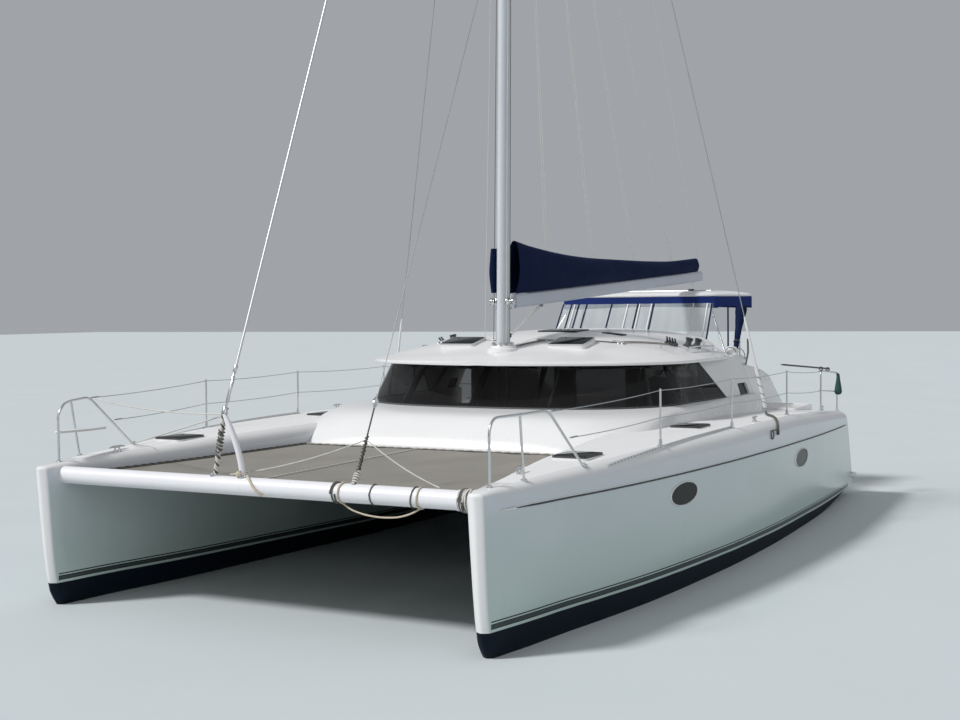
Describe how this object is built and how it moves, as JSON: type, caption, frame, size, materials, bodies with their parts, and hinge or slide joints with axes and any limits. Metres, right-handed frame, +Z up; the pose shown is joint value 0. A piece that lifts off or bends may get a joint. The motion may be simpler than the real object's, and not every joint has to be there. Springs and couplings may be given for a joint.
{
  "type": "sailing catamaran",
  "caption": "Cruising sailing catamaran afloat with stowed mainsail, wrap-round saloon windows, trampolines, bimini and working rudders, boom and hatches.",
  "frame": {"origin": "on the waterline, on the centreline, a little aft of the mast", "axes": "+X forward to the bows, +Y to port, +Z up"},
  "size_m": [12.6437, 7.18, 20.2858],
  "materials": {
    "gelcoat": "glossy white gelcoat, slightly chalked",
    "antifoul": "matt navy antifouling",
    "engine_paint": "satin grey paint",
    "bronze": "dull bronze",
    "hatch_glass": "smoked acrylic",
    "window_glass": "dark tinted glass",
    "stainless": "polished stainless steel",
    "net": "woven net, taupe",
    "alloy": "satin anodised and painted aluminium",
    "mast_paint": "white enamel",
    "navy_canvas": "acrylic canvas, navy",
    "blue_canvas": "acrylic canvas, royal blue",
    "clear_film": "clear flexible film",
    "upholstery": "off-white vinyl"
  },
  "bodies": {
    "boat": {"hull_port": "gelcoat", "hull_starboard": "gelcoat", "coaming_port": "gelcoat", "coaming_starboard": "gelcoat", "cabin_side_port": "gelcoat", "cabin_side_starboard": "gelcoat", "cabin_trunk": "gelcoat", "cabin_roof": "gelcoat", "aft_bulkhead": "gelcoat", "bridgedeck": "gelcoat", "cockpit_bench": "gelcoat", "helm_console": "gelcoat", "bimini_top": "gelcoat", "keel_port": "antifoul", "keel_starboard": "antifoul", "saildrive_port": "antifoul", "saildrive_starboard": "antifoul", "engine_port": "engine_paint", "engine_starboard": "engine_paint", "glass_side_port": "window_glass", "glass_side_starboard": "window_glass", "glass_front": "window_glass", "shroud_port": "stainless", "shroud_starboard": "stainless", "pulpit_port": "stainless", "pulpit_starboard": "stainless", "lifelines_port": "stainless", "lifelines_starboard": "stainless", "forestay": "stainless", "bimini_frame": "stainless", "trampoline_port": "net", "trampoline_starboard": "net", "crossbeam": "alloy", "striker": "alloy", "mast": "mast_paint", "bimini_skirt": "blue_canvas", "bimini_screen": "clear_film", "saloon_settee": "upholstery", "helm_seat": "upholstery"},
    "boom": {"boom": "alloy", "sail_cover": "navy_canvas"},
    "rudder_port": {"rudder_port": "antifoul"},
    "propeller_port": {"propeller_port": "bronze"},
    "engine_hatch_port": {"engine_hatch_port": "gelcoat"},
    "fore_hatch_port": {"fore_hatch_port": "hatch_glass"},
    "mid_hatch_port": {"mid_hatch_port": "hatch_glass"},
    "roof_hatch_port": {"roof_hatch_port": "hatch_glass"},
    "rudder_starboard": {"rudder_starboard": "antifoul"},
    "propeller_starboard": {"propeller_starboard": "bronze"},
    "engine_hatch_starboard": {"engine_hatch_starboard": "gelcoat"},
    "fore_hatch_starboard": {"fore_hatch_starboard": "hatch_glass"},
    "mid_hatch_starboard": {"mid_hatch_starboard": "hatch_glass"},
    "roof_hatch_starboard": {"roof_hatch_starboard": "hatch_glass"},
    "steering_wheel": {"steering_wheel": "stainless"},
    "saloon_door": {"saloon_door": "window_glass"}
  },
  "joints": [
    {"name": "boom_swing", "type": "hinge", "parent": "boat", "child": "boom", "pos_m": [0.215, 0, 3.35], "axis": [-0.0314, 0, 0.9995], "range_deg": [-43, 60]},
    {"name": "rudder_port_turn", "type": "hinge", "parent": "boat", "child": "rudder_port", "pos_m": [-5.18, 2.67, -0.4], "axis": [0, 0, 1], "range_deg": [-35, 35]},
    {"name": "rudder_starboard_turn", "type": "hinge", "parent": "boat", "child": "rudder_starboard", "pos_m": [-5.18, -2.67, -0.4], "axis": [0, 0, 1], "range_deg": [-35, 35]},
    {"name": "wheel_turn", "type": "hinge", "parent": "boat", "child": "steering_wheel", "pos_m": [-3.29, 1.25, 1.98], "axis": [1, 0, 0], "range_deg": [-455, 455]},
    {"name": "propeller_port_spin", "type": "hinge", "parent": "boat", "child": "propeller_port", "pos_m": [-4.3803, 2.67, -0.64], "axis": [1, 0, 0], "continuous": true},
    {"name": "propeller_starboard_spin", "type": "hinge", "parent": "boat", "child": "propeller_starboard", "pos_m": [-4.3803, -2.67, -0.64], "axis": [1, 0, 0], "continuous": true},
    {"name": "door_slide", "type": "slide", "parent": "boat", "child": "saloon_door", "axis": [0, -1, 0], "range_m": [0, 0.94]},
    {"name": "engine_hatch_port_lift", "type": "hinge", "parent": "boat", "child": "engine_hatch_port", "pos_m": [-3.91, 2.71, 1.5853], "axis": [0, 1, 0], "range_deg": [0, 80]},
    {"name": "engine_hatch_starboard_lift", "type": "hinge", "parent": "boat", "child": "engine_hatch_starboard", "pos_m": [-3.91, -2.71, 1.5853], "axis": [0, 1, 0], "range_deg": [0, 80]},
    {"name": "fore_hatch_port_lift", "type": "hinge", "parent": "boat", "child": "fore_hatch_port", "pos_m": [4.39, 2.7, 1.6663], "axis": [0, 1, 0], "range_deg": [0, 85]},
    {"name": "fore_hatch_starboard_lift", "type": "hinge", "parent": "boat", "child": "fore_hatch_starboard", "pos_m": [4.39, -2.7, 1.6663], "axis": [0, 1, 0], "range_deg": [0, 85]},
    {"name": "mid_hatch_port_lift", "type": "hinge", "parent": "boat", "child": "mid_hatch_port", "pos_m": [0.96, 2.81, 1.6973], "axis": [0, 1, 0], "range_deg": [0, 85]},
    {"name": "mid_hatch_starboard_lift", "type": "hinge", "parent": "boat", "child": "mid_hatch_starboard", "pos_m": [0.96, -2.81, 1.6973], "axis": [0, 1, 0], "range_deg": [0, 85]},
    {"name": "roof_hatch_port_lift", "type": "hinge", "parent": "boat", "child": "roof_hatch_port", "pos_m": [0.24546, 0.86, 2.71644], "axis": [0, 1, 0], "range_deg": [0, 70]},
    {"name": "roof_hatch_starboard_lift", "type": "hinge", "parent": "boat", "child": "roof_hatch_starboard", "pos_m": [0.24546, -0.86, 2.71644], "axis": [0, 1, 0], "range_deg": [0, 70]}
  ],
  "couplings": [
    {"joint": "rudder_starboard_turn", "follows": "rudder_port_turn", "ratio": 1},
    {"joint": "wheel_turn", "follows": "rudder_port_turn", "ratio": 12.857}
  ]
}
